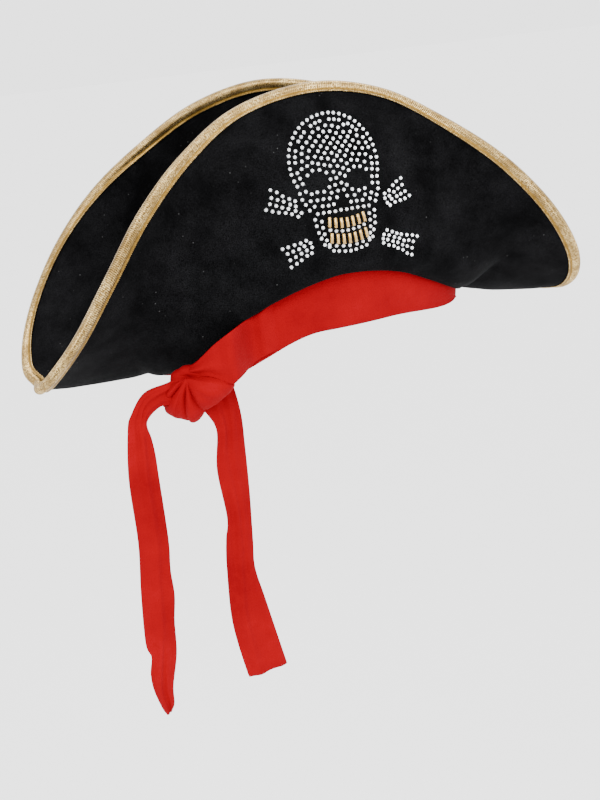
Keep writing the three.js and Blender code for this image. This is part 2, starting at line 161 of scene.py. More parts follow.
def through(points, shares, level_start=False):
    """A Catmull-Rom curve through points, at shares 0 to 1 of its spans; a level start mirrors it."""
    p = np.array(points, float)
    before = p[1] * [-1, 1, 1] if level_start else 2 * p[0] - p[1]
    p = np.vstack([before, p, 2 * p[-1] - p[-2]])
    at = np.asarray(shares, float) * (len(points) - 1)
    i = np.clip(at.astype(int), 0, len(points) - 2)
    t = (at - i)[..., None]
    a, b, c, d = p[i], p[i + 1], p[i + 2], p[i + 3]
    return 0.5 * (2 * b + (c - a) * t + (2 * a - 5 * b + 4 * c - d) * t**2 + (3 * b - a - 3 * c + d) * t**3)


# ---- the brim's surface ----------------------------------------------------------------------------------

def foot_height(x):
    return np.where(x < 0, hermite(FOOT_LEFT, np.abs(x)), hermite(FOOT_RIGHT, np.abs(x)))


def foot_points(share, side):
    on_crown = np.clip(share / CROWN_SHARE, 0, 1) * math.pi / 2
    out = np.clip((share - CROWN_SHARE) / (1 - CROWN_SHARE), 0, 1)
    x = HEAD[0] * np.sin(on_crown) + (FOOT_END - HEAD[0]) * out
    y = -HEAD[1] * np.cos(on_crown)
    y = np.where(y > -SEAM_OVERLAP, SEAM_OVERLAP, y)
    return np.stack([side * x, y, foot_height(side * x)], axis=-1)


def brim_surface(columns, rows):
    """The front flap's middle surface: rows from its foot to its edge, columns from tip to tip."""
    signed = np.linspace(-1, 1, columns)
    share = np.abs(signed)
    side = np.where(signed < 0, -1.0, 1.0)
    foot = foot_points(share, side)
    rim = through([(x, -gap, z) for x, gap, z in RIM], share, level_start=True)
    rim[:, 0] *= side
    rim[:, 1] = np.where(rim[:, 1] > -SEAM_OVERLAP, SEAM_OVERLAP, rim[:, 1])
    heading = ROLL_HEADING * smoothstep(0, 0.35, share)
    roll = np.minimum(ROLL[0] + (ROLL[1] - ROLL[0]) * share, 0.4 * np.linalg.norm(rim - foot, axis=1))
    rise = np.minimum(roll, 0.6 * np.maximum(0, rim[:, 2] - foot[:, 2]))
    out = np.stack([side * np.sin(heading), -np.cos(heading), 0 * share], axis=-1) * roll[:, None]
    rolled = foot + out
    shoulder = rolled + np.stack([0 * rise, 0 * rise, rise], axis=-1)
    shoulder = shoulder + 0.35 * (rim - shoulder)
    t = (np.linspace(0, 1, rows) ** 1.35)[:, None, None]
    surface = ((1 - t)**3 * foot + 3 * (1 - t)**2 * t * rolled + 3 * (1 - t) * t**2 * shoulder + t**3 * rim)
    return relaxed(surface, 14)


def relaxed(surface, passes):
    """The grid with its inner points evened out; its border stays."""
    for _ in range(passes):
        middle = (surface[:-2, 1:-1] + surface[2:, 1:-1] + surface[1:-1, :-2] + surface[1:-1, 2:]) / 4
        surface[1:-1, 1:-1] = middle
    return surface


def outward_of(surface):
    along = np.gradient(surface, axis=1)
    up = np.gradient(surface, axis=0)
    normal = np.cross(along, up)
    normal[0] = (0, 0, -1)
    normal[:, 0] = (0, 0, -1)
    normal[:, -1] = (0, 0, -1)
    return normal / np.linalg.norm(normal, axis=2, keepdims=True)


def moved(surface, outward, distance):
    result = surface + outward * np.asarray(distance)[..., None]
    result[..., 1] = np.minimum(result[..., 1], SEAM_OVERLAP)
    return result


def mirrored(points):
    return points * np.array([1, -1, 1])


def flap_relief(surface, seed):
    """How far the velvet stands off its stiffener: slight waves, and two tacked creases."""
    up = np.linspace(0, 1, len(surface))[:, None]
    inside = smoothstep(0, 0.12, up) * smoothstep(1, 0.93, up)
    waves = 0.55 * smooth_noise(surface, 70, seed) + 0.25 * smooth_noise(surface, 26, seed + 1)
    crease_at = np.where(surface[..., 0] > 0, 66 + 0.17 * np.maximum(0, 125 - surface[..., 2]), 55)
    away = (np.abs(surface[..., 0]) - crease_at) / 1.7
    crease = -1.0 * np.exp(-away**2) * smoothstep(38, 60, surface[..., 2])
    return inside * (waves + crease)


# ---- materials -------------------------------------------------------------------------------------------

class Material:
    """A node material with a Principled shader; its helpers add nodes and link them."""

    def __init__(self, name, **settings):
        self.material = bpy.data.materials.new(name)
        self.material.use_nodes = True
        self.tree = self.material.node_tree
        self.shader = self.tree.nodes["Principled BSDF"]
        for socket, value in settings.items():
            self.shader.inputs[socket.replace("_", " ")].default_value = value
        self.place = self.tree.nodes.new("ShaderNodeTexCoord").outputs["Object"]

    def node(self, kind, inputs=None, **settings):
        node = self.tree.nodes.new(kind)
        for key, value in settings.items():
            setattr(node, key, value)
        for key, value in (inputs or {}).items():
            if isinstance(value, bpy.types.NodeSocket):
                self.tree.links.new(value, node.inputs[key])
            else:
                node.inputs[key].default_value = value
        return node

    def noise(self, per_metre, detail=3, rough=0.6):
        return self.node("ShaderNodeTexNoise", {
            "Vector": self.place, "Scale": per_metre, "Detail": detail, "Roughness": rough}).outputs["Fac"]

    def ramp(self, value, stops):
        node = self.node("ShaderNodeValToRGB", {"Fac": value})
        elements = node.color_ramp.elements
        while len(elements) < len(stops):
            elements.new(0.5)
        for element, (position, color) in zip(elements, stops):
            element.position = position
            element.color = color if len(color) == 4 else (*color, 1)
        return node.outputs["Color"]

    def math(self, operation, a, b=0.0):
        return self.node("ShaderNodeMath", {0: a, 1: b}, operation=operation).outputs[0]

    def mix(self, factor, a, b, blend="MIX"):
        node = self.node("ShaderNodeMix", data_type="RGBA", blend_type=blend)
        for key, value in ((0, factor), (6, a), (7, b)):
            if isinstance(value, bpy.types.NodeSocket):
                self.tree.links.new(value, node.inputs[key])
            else:
                node.inputs[key].default_value = value if key == 0 else (*value, 1)
        return node.outputs[2]

    def weave(self, pitch_mm):
        """Crossed threads as a height, 0 to 1."""
        heights = []
        for direction in ("X", "Z"):
            wave = self.node("ShaderNodeTexWave", {
                "Vector": self.place, "Scale": 50 / pitch_mm, "Distortion": 0.6, "Detail": 1.0,
            }, wave_type="BANDS", bands_direction=direction)
            heights.append(wave.outputs["Fac"])
        return self.math("MULTIPLY", *heights)

    def bump(self, height, distance_mm, strength=1.0):
        node = self.node("ShaderNodeBump", {
            "Height": height, "Distance": distance_mm * MM, "Strength": strength})
        self.tree.links.new(node.outputs["Normal"], self.shader.inputs["Normal"])

    def link(self, output, socket):
        self.tree.links.new(output, self.shader.inputs[socket])


def velvet_material():
    m = Material("velvet_black", Specular_IOR_Level=0.02, Sheen_Weight=0.012, Sheen_Roughness=0.4)
    m.shader.inputs["Sheen Tint"].default_value = (0.75, 0.78, 0.85, 1)
    nap = m.noise(38, 4, 0.65)
    pile = m.noise(1500, 2, 0.7)
    worn = m.ramp(nap, [(0.35, (0, 0, 0)), (0.72, (1, 1, 1))])
    color = m.mix(worn, (0.0011, 0.0011, 0.0012), (0.0037, 0.0037, 0.0040))
    fine = m.mix(m.ramp(pile, [(0.35, (0, 0, 0)), (0.75, (1, 1, 1))]), (0.2, 0.2, 0.2), (2.8, 2.8, 2.85))
    shade = m.mix(1.0, color, fine, "MULTIPLY")
    lint_cells = m.node("ShaderNodeTexVoronoi", {"Vector": m.place, "Scale": 170.0})
    lint = m.ramp(lint_cells.outputs["Distance"], [(0.03, (1, 1, 1)), (0.1, (0, 0, 0))])
    rare = m.ramp(m.noise(90, 2), [(0.54, (0, 0, 0)), (0.62, (1, 1, 1))])
    both = m.math("MULTIPLY", lint, rare)
    m.link(m.mix(m.math("MULTIPLY", both, 0.5), shade, (0.1, 0.1, 0.1)), "Base Color")
    m.link(m.ramp(nap, [(0.3, (0.98,) * 3), (0.8, (0.8,) * 3)]), "Roughness")
    m.bump(m.math("ADD", m.math("MULTIPLY", pile, 0.5), nap), 0.5, 0.8)
    return m.material


def lining_material():
    m = Material("lining_satin", Specular_IOR_Level=0.2)
    streak = m.noise(120, 3)
    m.link(m.ramp(streak, [(0.3, (0.003, 0.003, 0.0035)), (0.8, (0.009, 0.009, 0.010))]), "Base Color")
    m.link(m.ramp(streak, [(0.2, (0.32,) * 3), (0.9, (0.5,) * 3)]), "Roughness")
    m.bump(m.weave(0.5), 0.08, 0.6)
    return m.material


def ribbon_material():
    m = Material("sweatband_grosgrain", Specular_IOR_Level=0.35)
    ribs = m.node("ShaderNodeTexWave", {"Vector": m.place, "Scale": 60.0}, bands_direction="Z").outputs["Fac"]
    shade = [(0.3, (0.012, 0.012, 0.013)), (0.8, (0.035, 0.035, 0.038))]
    m.link(m.ramp(m.noise(200, 3), shade), "Base Color")
    m.link(m.ramp(ribs, [(0, (0.55,) * 3), (1, (0.75,) * 3)]), "Roughness")
    m.bump(ribs, 0.25, 0.7)
    return m.material


def scarf_material():
    m = Material("scarf_red_cotton", Specular_IOR_Level=0.03, Sheen_Weight=0.01, Sheen_Roughness=0.5)
    m.shader.inputs["Sheen Tint"].default_value = (1.0, 0.35, 0.3, 1)
    slub = m.noise(160, 4, 0.7)
    wide = m.noise(22, 3)
    faded = m.ramp(wide, [(0.3, (0, 0, 0)), (0.75, (1, 1, 1))])
    worn = m.mix(faded, (0.15, 0.0, 0.0022), (0.225, 0.0, 0.0033))
    threads = m.ramp(slub, [(0.45, (0, 0, 0)), (0.85, (1, 1, 1))])
    m.link(m.mix(threads, worn, (0.185, 0.0002, 0.0028)), "Base Color")
    m.link(m.ramp(slub, [(0.2, (0.78,) * 3), (0.9, (0.92,) * 3)]), "Roughness")
    m.bump(m.math("ADD", m.weave(0.45), m.math("MULTIPLY", slub, 1.5)), 0.12, 0.8)
    return m.material


def braid_material(name, bright, deep, roughness):
    m = Material(name, Metallic=0.9, Specular_IOR_Level=0.5)
    thread = m.noise(900, 2, 0.7)
    wide = m.noise(70, 3)
    tone = m.mix(m.ramp(wide, [(0.3, (0, 0, 0)), (0.7, (1, 1, 1))]), deep, bright)
    m.link(m.mix(m.ramp(thread, [(0.42, (1, 1, 1)), (0.62, (0, 0, 0))]), tone, deep), "Base Color")
    m.link(m.ramp(thread, [(0.3, (roughness,) * 3), (0.8, (roughness + 0.2,) * 3)]), "Roughness")
    m.bump(thread, 0.15, 0.5)
    return m.material


def crystal_material():
    m = Material("crystal_foiled", Metallic=0.55, Specular_IOR_Level=0.9, Coat_Weight=0.5,
                 Coat_Roughness=0.03)
    glint = m.noise(700, 2)
    m.link(m.ramp(glint, [(0.3, (0.62, 0.64, 0.68)), (0.6, (0.97, 0.98, 1.0))]), "Base Color")
    m.link(m.ramp(glint, [(0.2, (0.08,) * 3), (0.8, (0.22,) * 3)]), "Roughness")
    return m.material


def bead_material():
    m = Material("bugle_gold", Metallic=0.8, Coat_Weight=0.6, Coat_Roughness=0.05)
    streak = m.noise(420, 3)
    m.link(m.ramp(streak, [(0.3, (0.34, 0.19, 0.04)), (0.7, (0.66, 0.44, 0.15))]), "Base Color")
    m.link(m.ramp(streak, [(0.2, (0.16,) * 3), (0.8, (0.32,) * 3)]), "Roughness")
    return m.material


def thread_material():
    m = Material("stitch_thread", Specular_IOR_Level=0.3)
    m.link(m.ramp(m.noise(1200, 2), [(0.3, (0.02, 0.02, 0.022)), (0.8, (0.07, 0.07, 0.075))]), "Base Color")
    m.link(m.ramp(m.noise(800, 2), [(0.3, (0.5,) * 3), (0.8, (0.7,) * 3)]), "Roughness")
    return m.material


def buckram_material():
    m = Material("buckram", Specular_IOR_Level=0.2)
    m.link(m.ramp(m.noise(400, 3), [(0.3, (0.03, 0.03, 0.032)), (0.8, (0.07, 0.07, 0.075))]), "Base Color")
    m.link(m.ramp(m.noise(300, 3), [(0.3, (0.8,) * 3), (0.8, (0.95,) * 3)]), "Roughness")
    m.bump(m.weave(1.2), 0.2)
    return m.material


VELVET_BLACK = velvet_material()
LINING = lining_material()
RIBBON = ribbon_material()
SCARF = scarf_material()
# The bright roll braid colours the roll, and also paints a highlight line along each leg's inner edge.
GOLD_ROLL_AND_EDGE_HIGHLIGHT = braid_material("braid_champagne_and_edge_highlight", (0.76, 0.56, 0.25), (0.20, 0.12, 0.035), 0.22)
GOLD_FLAT = braid_material("braid_flat_gold", (0.40, 0.24, 0.05), (0.14, 0.075, 0.012), 0.35)
# The dark groove braid colours the faces between the ribs: painted shade in the grooves.
GOLD_GROOVE_PAINTED_SHADE = braid_material("braid_groove_painted_shade", (0.07, 0.042, 0.011), (0.03, 0.017, 0.004), 0.45)
CRYSTALS = crystal_material()
BEADS = bead_material()
THREAD = thread_material()
BUCKRAM = buckram_material()


def finish_piece(piece, body, slot, *nodes):
    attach(piece, body)
    if nodes:
        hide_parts(*nodes)
    return piece


# ---- the velvet flaps ------------------------------------------------------------------------------------

BRIM = brim_surface(241, 49)
BRIM_OUT = outward_of(BRIM)


def velvet_flaps():
    """Each flap's stiffener between its two velvet skins; returns the front skin that carries the motif."""
    front = None
    for flap, place in (("front", lambda p: p), ("back", mirrored)):
        seed = 11 if flap == "front" else 23
        stand = flap_relief(BRIM, seed)
        body = place(moved(BRIM, BRIM_OUT, VELVET[1] + stand))
        under = place(moved(BRIM, BRIM_OUT, VELVET[0]))
        outer = slab_piece(f"{flap}_velvet_outer", body, under, VELVET_BLACK)
        finish_piece(outer, "hat", "velvet", f"{flap}_flap_velvet_outer")
        stand = 0.6 * flap_relief(BRIM, seed + 5)
        face = place(moved(BRIM, BRIM_OUT, -VELVET[1] - np.maximum(stand, -0.3)))[::2, ::2]
        back = place(moved(BRIM, BRIM_OUT, -VELVET[0]))[::2, ::2]
        core = slab_piece(f"{flap}_buckram", place(moved(BRIM, BRIM_OUT, BUCKRAM_HALF))[::2, ::2],
                          place(moved(BRIM, BRIM_OUT, -BUCKRAM_HALF))[::2, ::2], BUCKRAM)
        finish_piece(core, "hat", "stiffener", f"{flap}_flap_stiffener")
        inner = slab_piece(f"{flap}_velvet_inner", face, back, VELVET_BLACK)
        finish_piece(inner, "hat", "velvet", f"{flap}_flap_velvet_inner")
        front = front or outer
    return front


FRONT_VELVET = velvet_flaps()
VELVET_TREE = BVHTree.FromPolygons(
    [v.co for v in FRONT_VELVET.data.vertices], [tuple(p.vertices) for p in FRONT_VELVET.data.polygons])


# ---- the braid -------------------------------------------------------------------------------------------

def rim_frames(step):
    """Evenly spaced places round the whole edge, with the ways out of and into the flap there."""
    edge, out = BRIM[-1], BRIM_OUT[-1]
    edge = np.concatenate([edge * [1, 1, 1], mirrored(edge[-2:0:-1])])
    out = np.concatenate([out, mirrored(out[-2:0:-1])])
    edge[0, 1] = edge[BRIM.shape[1] - 1, 1] = 0
    closed = np.vstack([edge, edge[:1]])
    lengths = np.concatenate([[0], np.cumsum(np.linalg.norm(np.diff(closed, axis=0), axis=1))])
    count = round(lengths[-1] / step / RIB_STEPS) * RIB_STEPS
    at = np.linspace(0, lengths[-1], count, endpoint=False)

    def sample(values):
        loop = np.vstack([values, values[:1]])
        return np.stack([np.interp(at, lengths, loop[:, k]) for k in range(3)], axis=1)

    place, outward = sample(edge), sample(out)
    for _ in range(12):
        outward = (np.roll(outward, 6, 0) + outward + np.roll(outward, -6, 0)) / 3
    along = np.roll(place, -3, 0) - np.roll(place, 3, 0)
    for _ in range(6):
        along = (np.roll(along, 5, 0) + along + np.roll(along, -5, 0)) / 3
    along /= np.linalg.norm(along, axis=1, keepdims=True)
    outward -= along * (outward * along).sum(1, keepdims=True)
    outward /= np.linalg.norm(outward, axis=1, keepdims=True)
    return at, place, outward, np.cross(along, outward)


def braid_profile():
    """The braid's closed section: a round roll over the edge, and a flat leg down each face."""
    roll = [(3.55 * math.cos(a), 1.4 - 3.55 * math.sin(a)) for a in np.linspace(-0.3, math.pi + 0.3, 15)]
    right_leg = [(2.75, BRAID_REACH), (3.5, BRAID_REACH - 0.1), (3.5, 5.2), (3.1, 4.9), (3.1, 3.4)]
    left_leg = [(-u, v) for u, v in reversed(right_leg)]
    inside = [(-2.7, 2.0), (-2.7, 0.2), (-2.2, -0.6), (2.2, -0.6), (2.7, 0.2), (2.7, 2.0)]
    return np.array(right_leg + roll + left_leg + inside)


def edge_braid():
    at, place, outward, inward = rim_frames(BRAID_RIB / RIB_STEPS)
    profile = braid_profile()
    slant = 0.16 * profile[:, 1]
    phase = (at[:, None] + slant) / BRAID_RIB * 2 * math.pi
    visible = np.ones(len(profile))
    visible[-6:] = 0
    reach = np.hypot(profile[:, 0], profile[:, 1] - 1.4)
    grow = 1 + visible * 0.55 * (np.abs(np.sin(phase / 2)) - 0.75) / np.maximum(reach, 2)
    u = profile[:, 0] * grow
    v = 1.4 + (profile[:, 1] - 1.4) * grow
    wander = 0.12 * np.sin(at / 23)[:, None]
    sections = (place[:, None] + outward[:, None] * u[..., None]
                + inward[:, None] * (v + wander)[..., None])
    braid = ring_piece("edge_braid_roll", sections, GOLD_ROLL_AND_EDGE_HIGHLIGHT)
    braid.data.materials.append(GOLD_FLAT)
    braid.data.materials.append(GOLD_GROOVE_PAINTED_SHADE)
    # Each leg's two faces at its inner edge are left out of the flat faces, so they keep the bright roll
    # braid: a painted highlight line.
    flat = np.isin(np.arange(len(profile)), (2, 3, 20, 21))
    # Faces in the grooves between the ribs take the dark groove braid, which paints shade into them.
    in_groove = np.abs(np.sin((phase + np.roll(phase, -1, 0)) / 4)) < 0.34
    which = np.where(flat[None, :], 1, np.where(in_groove & (visible > 0), 2, 0))
    braid.data.polygons.foreach_set("material_index", which.ravel().astype(int).tolist())
    finish_piece(braid, "hat", "braid", "edge_braid")


edge_braid()


# ---- crown, lining and sweatband -------------------------------------------------------------------------

def crown_share(z):
    return 1 - CROWN_TAPER * smoothstep(CROWN_SHOULDER, CROWN_TOP + 10, z)


def crown_wall_points(angle, z, inset, meet=0.0):
    """Points round the crown's wall; where meet is 1 the wall comes out to the brim's foot."""
    share = crown_share(z)
    share = share + (1 - share) * meet
    inset = inset - 0.9 * meet
    return np.stack([
        (HEAD[0] * share - inset) * np.sin(angle), -(HEAD[1] * share - inset) * np.cos(angle), z + 0 * angle,
    ], axis=-1)


def crown_ring(name, material, inset, thickness, low, high, ruffle=0.0, rows=22, flare=0.0, columns=240):
    """A band of cloth round the crown; flare is how strongly its lower edge comes out to the brim's foot."""
    angle = np.linspace(0, 2 * math.pi, columns, endpoint=False)[:, None]
    up = np.linspace(0, 1, rows)[None, :]
    z = low(angle) + (high(angle) - low(angle)) * up
    wave = ruffle * (np.sin(23 * angle + 3 * up) + 0.6 * np.sin(41 * angle + 1.7)) * np.sin(math.pi * up)
    meet = flare * np.exp(-(((z - low(angle)) / 6.0) ** 2))
    face = crown_wall_points(angle + 0 * up, z, inset - wave, meet)
    back = crown_wall_points(angle + 0 * up, z, inset + thickness - wave, meet)
    return ring_piece(name, np.concatenate([face, back[:, ::-1]], axis=1), material), face


def crown_cap(name, material, inset, thickness, rim, rise, ruffle=0.0):
    share = float(crown_share(np.array(rim)))
    half = np.array([HEAD[0] * share - inset, HEAD[1] * share - inset])
    angle = np.linspace(0, 2 * math.pi, 200, endpoint=False)[:, None]
    lift = np.linspace(0, math.pi / 2, 24)[None, :-1]
    wave = ruffle * np.sin(32 * angle) * np.cos(lift) * np.sin(2 * lift)

    def dome(drop):
        reach = np.cos(lift)
        x = (half[0] - drop) * reach * np.sin(angle)
        y = -(half[1] - drop) * reach * np.cos(angle)
        return np.stack([x, y, rim + (rise - drop) * np.sin(lift) + wave], axis=-1)

    outer, inner = dome(0), dome(thickness)
    rows, columns = outer.shape[:2]
    tops = [[0, 0, rim + rise], [0, 0, rim + rise - thickness]]
    points = np.concatenate([outer.reshape(-1, 3), inner.reshape(-1, 3), tops])
    count = rows * columns
    faces = grid_faces(rows, columns, True) + grid_faces(rows, columns, True, start=count)
    for r in range(rows):
        r2 = (r + 1) % rows
        faces.append((r * columns, r2 * columns, count + r2 * columns, count + r * columns))
        faces.append((r * columns + columns - 1, r2 * columns + columns - 1, 2 * count))
        faces.append((count + r * columns + columns - 1, count + r2 * columns + columns - 1, 2 * count + 1))
    return new_object(name, points, faces, material), outer


def foot_around(angle):
    return foot_height(HEAD[0] * np.sin(angle))


def scarf_edge(angle):
    """The scarf band's lower edge: level in front and behind, hanging towards the knot on the left."""
    side = np.sin(angle)
    level = 2 + 2 * np.cos(angle)
    target = np.where(side < 0, -30.0, -4.0)
    hang = np.where(side < 0, smoothstep(0.12, 0.93, -side), smoothstep(0.3, 0.95, side))
    edge = np.minimum(level + (target - level) * hang, foot_around(angle) - 9)
    turned = (np.degrees(angle) + 180) % 360 - 180
    past_knot = smoothstep(-54, -66, turned) * smoothstep(-170, -150, turned)
    return edge + (foot_around(angle) - 4 - edge) * past_knot


def stitches(name, places, radius, body, slot):
    """A row of thread stitches along a line of points, each a small rounded bar."""
    points, faces = [], []
    for start, end in places:
        along = end - start
        run = np.linalg.norm(along)
        along = along / run
        side = np.cross(along, (0.3, 0.2, 1.0))
        side /= np.linalg.norm(side)
        other = np.cross(along, side)
        first = len(points)
        for share, fat in ((0.0, 0.35), (0.18, 1.0), (0.82, 1.0), (1.0, 0.35)):
            for k in range(6):
                turn = k * math.pi / 3
                round_it = side * math.cos(turn) + other * math.sin(turn)
                points.append(start + along * run * share + radius * fat * round_it)
        faces += grid_faces(4, 6, False, True, start=first)
        faces += [tuple(first + k for k in range(6)), tuple(first + 18 + k for k in range(6))]
    piece = new_object(name, np.array(points), faces, THREAD)
    return finish_piece(piece, body, slot)


def stitch_ring(name, inset, height, pitch, slot):
    fine = np.linspace(0, 2 * math.pi, 2000)
    line = crown_wall_points(fine, height(fine), inset)
    lengths = np.concatenate([[0], np.cumsum(np.linalg.norm(np.diff(line, axis=0), axis=1))])
    marks = np.arange(0, lengths[-1] - pitch, pitch)

    def at(distance):
        return np.array([np.interp(distance, lengths, line[:, k]) for k in range(3)])

    places = [(at(m), at(m + 0.62 * pitch)) for m in marks]
    return stitches(name, places, 0.28, "hat", slot)


def crown_pieces():
    wall, face = crown_ring("crown_wall_velvet", VELVET_BLACK, 0.6, 2.0, lambda a: foot_around(a) - 2.1,
                            lambda a: CROWN_TOP + 0 * a, 0.25, rows=60, flare=1.0)
    finish_piece(wall, "hat", "velvet", "crown_wall")
    top, face = crown_cap("crown_top_velvet", VELVET_BLACK, 0.6, 2.0, CROWN_TOP + 0.6, CROWN_RISE)
    finish_piece(top, "hat", "velvet", "crown_top")
    lining, face = crown_ring("lining_wall_satin", LINING, 5.3, 0.5, lambda a: scarf_edge(a) + 30,
                              lambda a: CROWN_TOP - 3 + 0 * a, 0.5)
    finish_piece(lining, "hat", "lining", "lining_wall")
    roof, face = crown_cap("lining_top_satin", LINING, 5.3, 0.5, CROWN_TOP - 2.4, CROWN_RISE - 2.4, 0.5)
    finish_piece(roof, "hat", "lining", "lining_top")
    low = lambda a: scarf_edge(a) + 4
    band, face = crown_ring("sweatband_ribbon", RIBBON, 5.9, 1.2, low, lambda a: low(a) + 30, 0.12, rows=12)
    finish_piece(band, "hat", "lining", "sweatband")
    stitch_ring("sweatband_stitches_low", 7.2, lambda a: low(a) + 2.5, 3.2, "lining")
    stitch_ring("sweatband_stitches_high", 7.2, lambda a: low(a) + 27.5, 3.2, "lining")


# ---- the scarf -------------------------------------------------------------------------------------------

KNOT_ANGLE = math.radians(-47)  # where the knot is tied, round the crown from the front
KNOT_TURN = math.radians(35)
PINCH = np.array([-113.0, -62.0, -9.5])  # where the knot draws the cloth together
KNOT_RIGHT = np.array([math.cos(KNOT_TURN), -math.sin(KNOT_TURN), 0])
KNOT_OUT = np.array([-math.sin(KNOT_TURN), -math.cos(KNOT_TURN), 0])
KNOT_OUTLINE = [  # angle round the pinch, reach: the fan of pleats below, the lobe on the right
    (0, 25), (25, 11), (60, 7), (100, 7), (150, 9), (176, 14), (206, 18), (224, 34), (233, 36), (240, 33.5),
    (247, 35.5), (254, 33.5), (262, 37), (271, 34.5), (281, 29), (295, 27), (319, 27), (335, 30), (346, 32),
    (352, 28),
]
PLEAT_VALLEYS = [196, 227, 261, 284]  # the deep lines between the fan's pleats
LOBE_END = 357  # where the lobe on the right ends
WRAP_UPPER = [  # the wrap's upper edge, from the band to the knot
    (-38, -64, 34), (-48, -64, 31), (-58, -66, 26), (-68, -64, 22), (-86, -82, 21), (-98, -78, 13),
    (-106, -73, 5), (-112, -68, -1), (-116, -59, -4),
]
WRAP_LOWER = [  # its lower edge
    (-36, -65, 1), (-45, -65, -3), (-57, -66, -6), (-67, -65, -10), (-84, -83, -13), (-91, -82, -16),
    (-102, -77, -10), (-111, -68, -10), (-117, -58, -11),
]


def scarf_band():
    angle = np.linspace(-math.pi, math.pi, 420, endpoint=False)[:, None]
    up = np.linspace(0, 1, 30)[None, :]
    low = scarf_edge(angle)
    high = foot_around(angle) + 17
    z = low + (high - low) * up
    near = np.exp(-(((angle - KNOT_ANGLE) / 0.42) ** 2))
    folds = np.zeros_like(z)
    for offset, spread, height in ((-2.0, 2.6, 1.5), (7.0, 3.2, 1.8), (16.0, 3.4, 1.3)):
        line = PINCH[2] + offset + (angle - KNOT_ANGLE) * (14 + offset * 1.6)
        folds += height * np.exp(-(((z - line) / spread) ** 2))
    puff = 1.1 * np.sin(math.pi * np.clip(up * 1.6, 0, 1)) + 0.5 * np.sin(9 * angle + 5 * up) * up * (1 - up)
    hem = 0.7 * np.exp(-((up - 0.03) / 0.03) ** 2)
    face = crown_wall_points(angle + 0 * up, z, SCARF_OUT + 0.8 - near * folds - puff * 0.8 - hem)
    back = crown_wall_points(angle + 0 * up, z, SCARF_OUT + 2.6)
    band = ring_piece("scarf_band_cloth", np.concatenate([face, back[:, ::-1]], axis=1), SCARF)
    finish_piece(band, "hat", "scarf", "scarf_band")


def periodic(stations, angle):
    """A smooth closed curve of radius by angle in degrees."""
    turns = np.array([a for a, _ in stations], float)
    radii = np.array([r for _, r in stations], float)
    turns = np.concatenate([turns - 360, turns, turns + 360])
    radii = np.tile(radii, 3)
    fine = np.linspace(-180, 540, 1441)
    value = np.interp(fine, turns, radii)
    kernel = np.hanning(41)
    value = np.convolve(value, kernel / kernel.sum(), mode="same")
    return np.interp(np.degrees(angle) % 360, fine, value)


def under_brim(points):
    """The points, lowered where they would come through the brim's underside."""
    flat = points.reshape(-1, 3).copy()
    for point in flat:
        below = Vector((point[0] * MM, point[1] * MM, -0.12))
        hit, _, _, _ = VELVET_TREE.ray_cast(below, Vector((0, 0, 1)))
        if hit is not None and hit.z < 0.02:
            point[2] = min(point[2], hit.z / MM - 0.5)
    return flat.reshape(points.shape)


def pleat_ridges(degrees):
    """0 in the lines between pleats and 1 along their crests, with how broad each pleat is."""
    ridge = np.zeros_like(degrees)
    for start, end in zip(PLEAT_VALLEYS, PLEAT_VALLEYS[1:]):
        part = (degrees >= start) & (degrees < end)
        across = np.clip((degrees - start) / (end - start), 0, 1)
        ridge = np.where(part, np.sin(np.pi * across) ** 0.55, ridge)
    first = PLEAT_VALLEYS[-1]
    lobe = (degrees >= first) & (degrees < LOBE_END)
    across = np.clip((degrees - first) / (LOBE_END - first), 0, 1)
    return np.where(lobe, 1.15 * np.sin(np.pi * across) ** 0.5, ridge)


def knot():
    """The tied cloth: pleats that fan down and left from the pinch, and a plain lobe to the right."""
    angle = np.linspace(0, 2 * math.pi, 360, endpoint=False)[:, None]
    degrees = np.degrees(angle)
    out = np.linspace(0.02, 1, 50)[None, :]
    ridge = pleat_ridges(degrees)
    reach = periodic(KNOT_OUTLINE, angle) * (0.97 + 0.05 * ridge) * out
    below = smoothstep(170, 200, degrees) * smoothstep(364, 350, degrees)
    swell = (4.5 + 5.5 * below) * np.sin(math.pi * (0.22 + 0.56 * out)) ** 0.8
    swell = swell + 3.6 * (ridge - 0.55) * below * smoothstep(0.04, 0.4, out)
    swell = swell - 1.6 * np.exp(-((degrees - 244 - 6 * out) / 3.5) ** 2) * smoothstep(0.15, 0.6, out)
    swell = swell + 0.4 * below * np.sin(degrees / 4.3 + 2.2 * out) * smoothstep(0.2, 0.7, out)
    rounding = np.sqrt(np.clip(1 - out ** 7, 0, 1))
    behind = -6.0 * np.sqrt(np.clip(1 - out ** 3, 0, 1))
    curl = -3.5 * below * out ** 4

    def lay(depth):
        return (PINCH + KNOT_RIGHT * (reach * np.cos(angle))[..., None]
                + np.array([0, 0, 1.0]) * (reach * np.sin(angle))[..., None] + KNOT_OUT * depth[..., None])

    front_grid = lay(swell * rounding + curl + 2)
    back_grid = lay(behind + curl + 1.2 + 0 * reach)
    sections = under_brim(np.concatenate([front_grid, back_grid[:, ::-1]], axis=1))
    rows, count = sections.shape[:2]
    faces = grid_faces(rows, count, True, False)
    faces += [tuple(r * count for r in range(rows)), tuple(r * count + count - 1 for r in range(rows))]
    piece = new_object("scarf_knot", sections, faces, SCARF)
    soften(piece, 2)
    finish_piece(piece, "hat", "scarf", "knot")


def soften(piece, passes):
    modifier = piece.modifiers.new("soften", "SMOOTH")
    modifier.factor = 0.5
    modifier.iterations = passes
    apply_modifiers(piece)


def apply_modifiers(piece):
    depsgraph = bpy.context.evaluated_depsgraph_get()
    mesh = bpy.data.meshes.new_from_object(piece.evaluated_get(depsgraph))
    piece.modifiers.clear()
    piece.data = mesh


